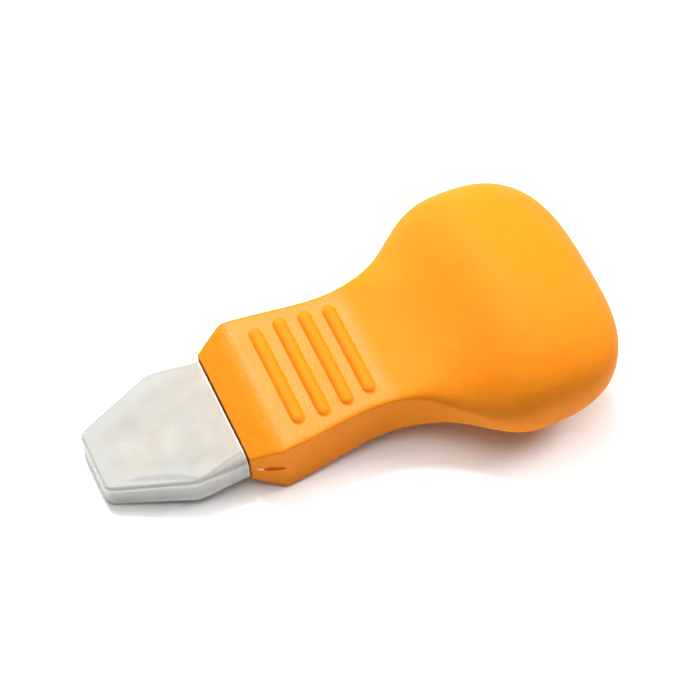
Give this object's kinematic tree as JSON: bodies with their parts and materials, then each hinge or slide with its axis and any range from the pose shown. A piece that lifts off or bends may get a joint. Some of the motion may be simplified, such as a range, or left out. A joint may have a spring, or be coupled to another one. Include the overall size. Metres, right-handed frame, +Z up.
{
  "type": "bench knife",
  "caption": "Short wide pry blade with a ground edge in a moulded palm-bulb handle with grip ribs, under a push-on translucent cap.",
  "frame": {"origin": "centre of the bounding box's bottom, on the surface that the tool lies on", "axes": "+X along the tool from the cap's tip towards the bulb, +Z up, +Y across the tool"},
  "size_m": [0.0895, 0.0466, 0.0237],
  "materials": {
    "handle": "orange, finely textured moulded plastic",
    "blade": "ground steel",
    "cap": "milky translucent plastic"
  },
  "bodies": {
    "tool": {"handle": "handle", "blade": "blade"},
    "cap": {"blade_cap": "cap"}
  },
  "joints": [
    {"name": "cap_slide", "type": "slide", "parent": "tool", "child": "cap", "axis": [-0.9917, 0, -0.1283], "range_m": [0, 0.025]}
  ]
}
